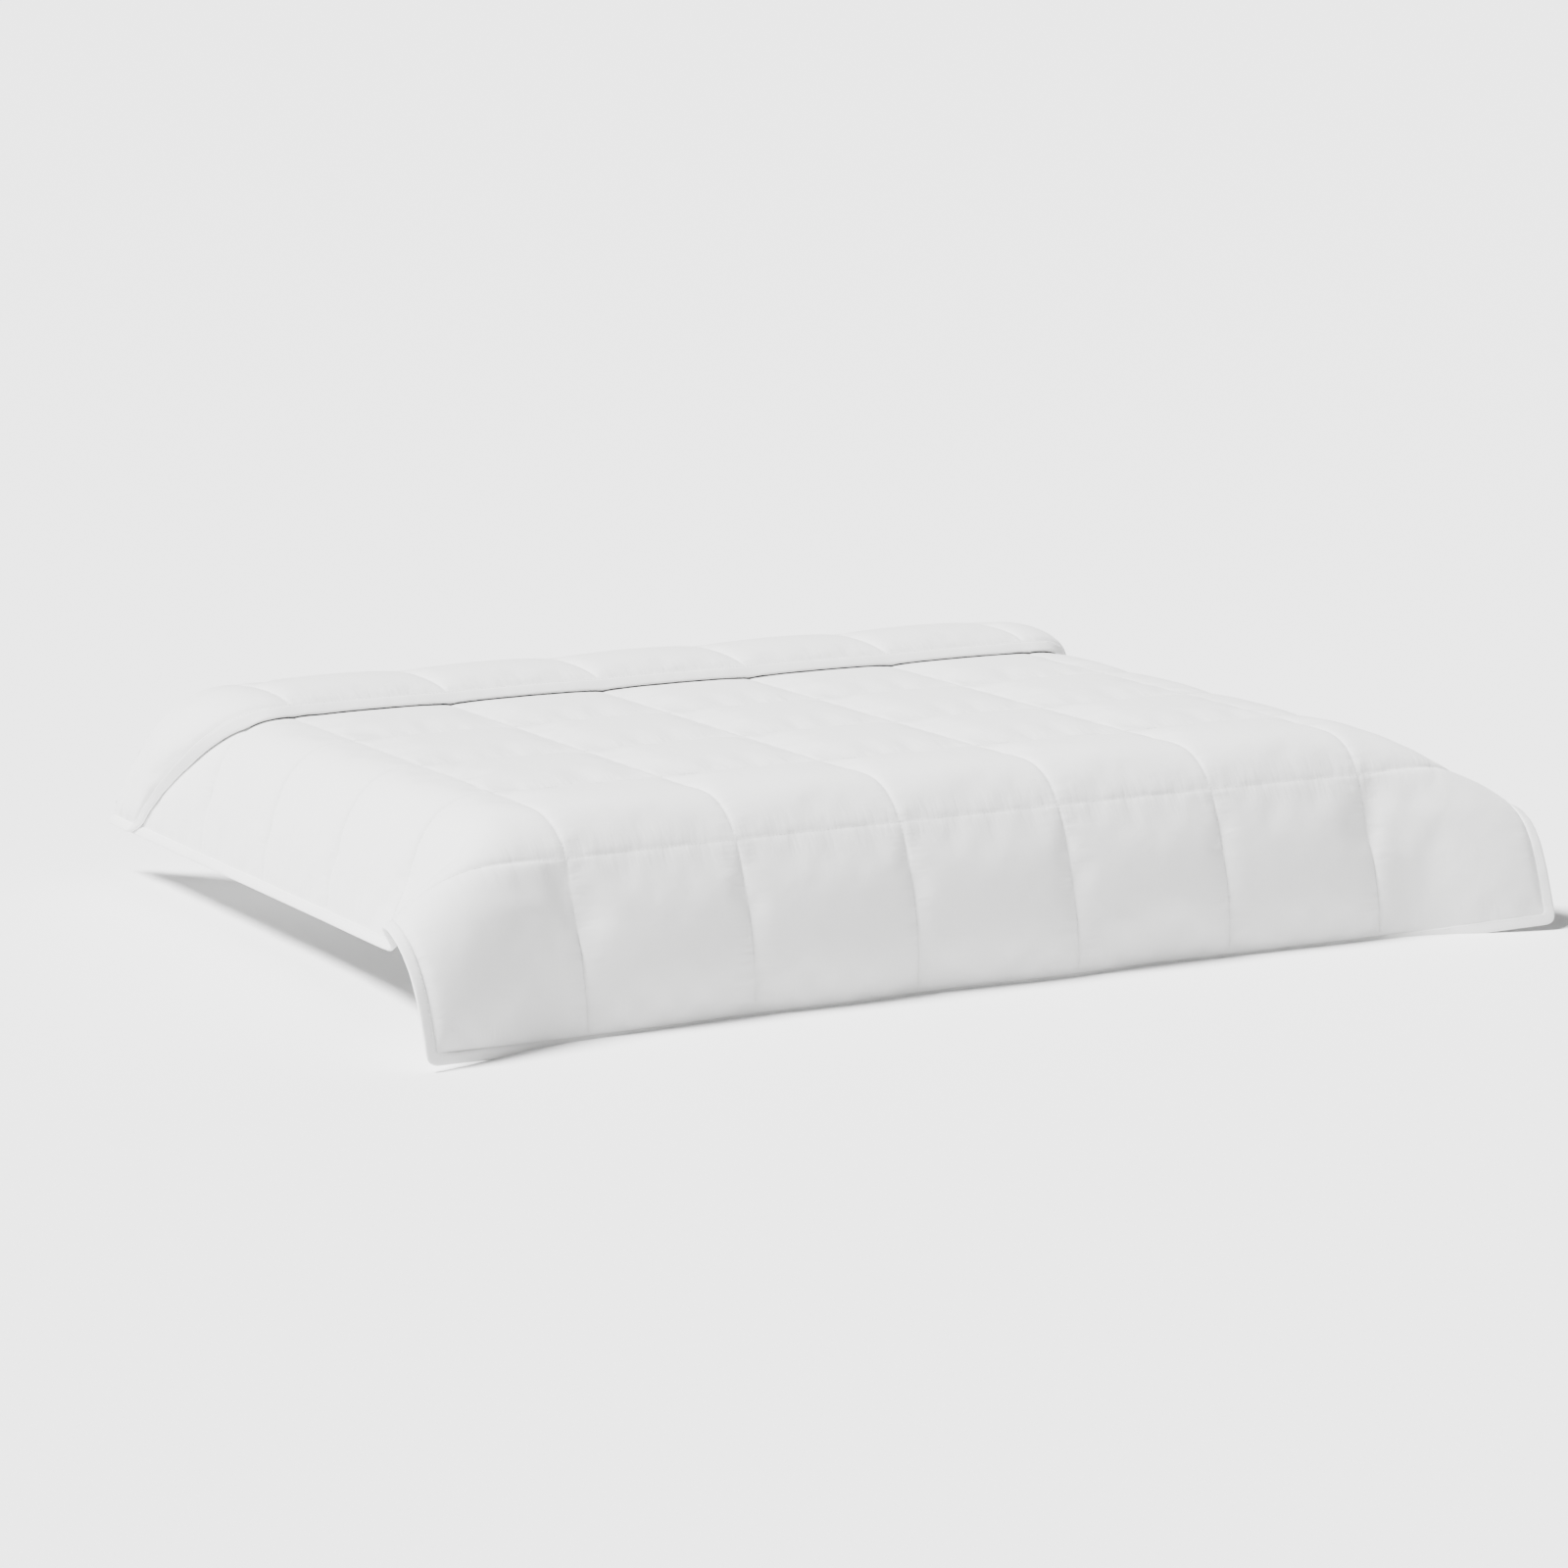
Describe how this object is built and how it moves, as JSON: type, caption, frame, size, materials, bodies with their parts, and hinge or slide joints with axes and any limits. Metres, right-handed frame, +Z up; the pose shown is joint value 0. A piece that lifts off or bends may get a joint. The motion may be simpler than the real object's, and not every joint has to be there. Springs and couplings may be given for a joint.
{
  "type": "duvet",
  "caption": "Box-quilted duvet lying over a double bed, with its head end turned down and its sides and foot hanging over the mattress.",
  "frame": {"origin": "centre of the mattress top, on the flat face of the duvet that rests there", "axes": "+X to the right seen from the foot of the bed, +Y towards the head, +Z up"},
  "size_m": [2.4524, 1.9442, 0.4398],
  "materials": {
    "shell_cotton": "soft matt white percale",
    "baffle_cotton": "thin white cotton",
    "binding_cotton": "matt white cotton tape",
    "thread": "white sewing thread",
    "label": "satin tape, blank",
    "filling": "fluffy off-white filling"
  },
  "bodies": {
    "root": {"binding_stitching": "thread", "bottom_shell": "shell_cotton", "care_label": "label", "crosswise_baffles": "baffle_cotton", "edge_binding": "binding_cotton", "fill_r1_c1": "filling", "fill_r1_c2": "filling", "fill_r1_c3": "filling", "fill_r1_c4": "filling", "fill_r1_c5": "filling", "fill_r1_c6": "filling", "fill_r1_c7": "filling", "fill_r2_c1": "filling", "fill_r2_c2": "filling", "fill_r2_c3": "filling", "fill_r2_c4": "filling", "fill_r2_c5": "filling", "fill_r2_c6": "filling", "fill_r2_c7": "filling", "fill_r3_c1": "filling", "fill_r3_c2": "filling", "fill_r3_c3": "filling", "fill_r3_c4": "filling", "fill_r3_c5": "filling", "fill_r3_c6": "filling", "fill_r3_c7": "filling", "fill_r4_c1": "filling", "fill_r4_c2": "filling", "fill_r4_c3": "filling", "fill_r4_c4": "filling", "fill_r4_c5": "filling", "fill_r4_c6": "filling", "fill_r4_c7": "filling", "fill_r5_c1": "filling", "fill_r5_c2": "filling", "fill_r5_c3": "filling", "fill_r5_c4": "filling", "fill_r5_c5": "filling", "fill_r5_c6": "filling", "fill_r5_c7": "filling", "fill_r6_c1": "filling", "fill_r6_c2": "filling", "fill_r6_c3": "filling", "fill_r6_c4": "filling", "fill_r6_c5": "filling", "fill_r6_c6": "filling", "fill_r6_c7": "filling", "fill_r7_c1": "filling", "fill_r7_c2": "filling", "fill_r7_c3": "filling", "fill_r7_c4": "filling", "fill_r7_c5": "filling", "fill_r7_c6": "filling", "fill_r7_c7": "filling", "lengthwise_baffles": "baffle_cotton", "quilting_thread": "thread", "top_shell": "shell_cotton"}
  },
  "joints": []
}
